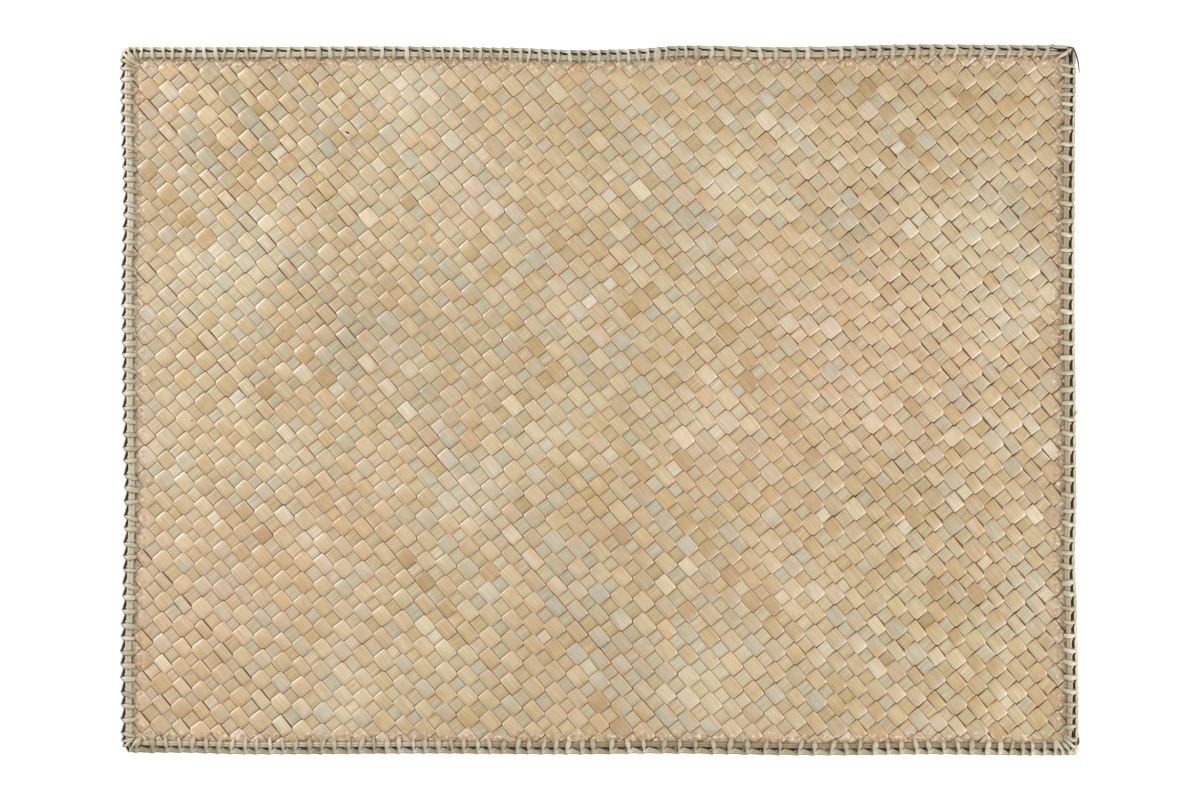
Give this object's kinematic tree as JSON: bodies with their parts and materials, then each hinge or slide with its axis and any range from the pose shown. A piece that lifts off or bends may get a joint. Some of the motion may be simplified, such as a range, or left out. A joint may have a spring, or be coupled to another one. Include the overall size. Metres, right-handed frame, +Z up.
{
  "type": "placemat",
  "caption": "Rectangular hand-plaited leaf placemat in diagonal plain weave, with a reed along each edge held down by blanket stitching.",
  "frame": {"origin": "middle of the mat, on the surface that it lies on", "axes": "+X along the length, +Y along the width, +Z up from the surface through the face with the reeds"},
  "size_m": [0.4522, 0.3364, 0.0046],
  "materials": {
    "panel_leaf": "plaited flat strips of dry leaf, matt to satin, each strip of its own tone",
    "rim_reed": "split reed, smooth and slightly glossy",
    "sewing_leaf": "narrow strip of pale dry leaf, satin, with fine lengthwise grain"
  },
  "bodies": {
    "root": {"plaited_panel": "panel_leaf", "rim_reed_top": "rim_reed", "rim_reed_right": "rim_reed", "rim_reed_bottom": "rim_reed", "rim_reed_left": "rim_reed", "edge_sewing_top": "sewing_leaf", "edge_sewing_right": "sewing_leaf", "edge_sewing_bottom": "sewing_leaf", "edge_sewing_left": "sewing_leaf"}
  },
  "joints": []
}
